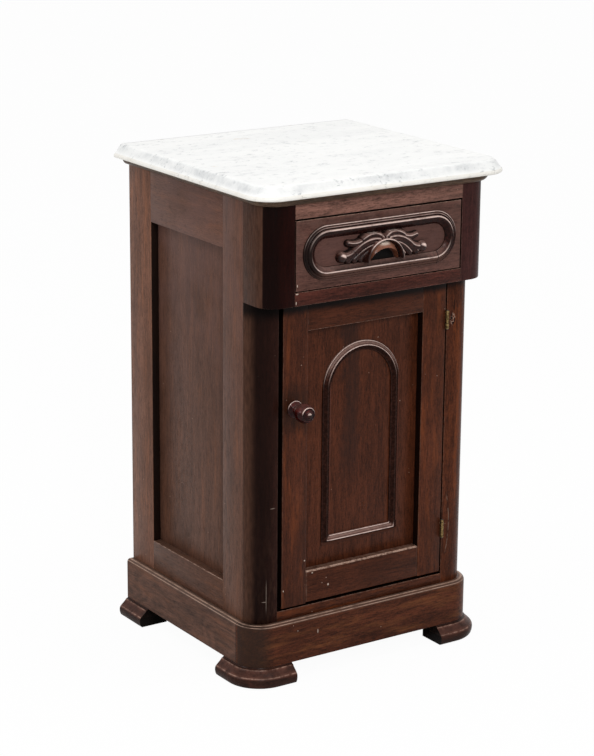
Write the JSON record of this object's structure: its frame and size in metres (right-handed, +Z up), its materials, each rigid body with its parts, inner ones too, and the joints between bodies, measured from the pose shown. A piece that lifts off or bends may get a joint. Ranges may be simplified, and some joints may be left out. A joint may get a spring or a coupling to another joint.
{
  "type": "bedside pot cupboard",
  "caption": "Bedside pot cupboard with a marble top, a drawer with a carved pull over an arched panel door, a plinth and flared feet.",
  "frame": {"origin": "on the floor, under the middle of the marble top's outline", "axes": "+Z up, +X to the right seen from the front, front towards -Y"},
  "size_m": [0.444, 0.409, 0.76],
  "materials": {
    "marble": "polished white marble with grey veins",
    "walnut": "aged varnish, satin",
    "dark_walnut": "dark aged varnish, semi-gloss",
    "inner_wood": "plain planed wood",
    "aged_brass": "tarnished",
    "steel_screws": "dull"
  },
  "bodies": {
    "case": {"marble_top": "marble", "sub_top": "walnut", "left_front_stile": "walnut", "left_back_stile": "walnut", "left_top_rail": "walnut", "left_bottom_rail": "walnut", "left_side_panel": "walnut", "right_front_stile": "walnut", "right_back_stile": "walnut", "right_top_rail": "walnut", "right_bottom_rail": "walnut", "right_side_panel": "walnut", "left_corner_block": "dark_walnut", "right_corner_block": "dark_walnut", "latch_column": "dark_walnut", "hinge_column": "dark_walnut", "top_front_rail": "walnut", "mid_front_rail": "walnut", "bottom_front_rail": "walnut", "back_boards": "inner_wood", "cupboard_floor": "inner_wood", "dust_board": "inner_wood", "drawer_runners": "inner_wood", "drawer_guides": "inner_wood", "drawer_kickers": "inner_wood", "plinth_front": "walnut", "plinth_left": "walnut", "plinth_right": "walnut", "plinth_back": "inner_wood", "foot_front_left": "walnut", "foot_front_right": "walnut", "foot_back_left": "walnut", "foot_back_right": "walnut", "glue_blocks": "inner_wood", "hinge_frame_leaves": "aged_brass", "hinge_pins": "steel_screws", "hinge_frame_screws": "steel_screws"},
    "drawer": {"drawer_front": "walnut", "drawer_left_side": "inner_wood", "drawer_right_side": "inner_wood", "drawer_back": "inner_wood", "drawer_bottom": "inner_wood", "drawer_moulding": "dark_walnut", "drawer_pull": "dark_walnut", "pull_screws": "steel_screws"},
    "door": {"door_latch_stile": "walnut", "door_hinge_stile": "walnut", "door_top_rail": "walnut", "door_bottom_rail": "walnut", "door_panel": "walnut", "arch_moulding": "dark_walnut", "hinge_door_leaves": "aged_brass", "hinge_door_screws": "steel_screws"},
    "catch": {"door_knob": "dark_walnut", "knob_spindle": "aged_brass", "turn_catch": "aged_brass"}
  },
  "joints": [
    {"name": "drawer_slide", "type": "slide", "parent": "case", "child": "drawer", "axis": [0, -1, 0], "range_m": [0, 0.27]},
    {"name": "door_hinge", "type": "hinge", "parent": "case", "child": "door", "pos_m": [0.14695, -0.151, 0.3435], "axis": [0, 0, 1], "range_deg": [0, 180]},
    {"name": "catch_turn", "type": "hinge", "parent": "door", "child": "catch", "pos_m": [-0.1262, -0.1485, 0.418], "axis": [0, 1, 0], "range_deg": [0, 90]}
  ]
}
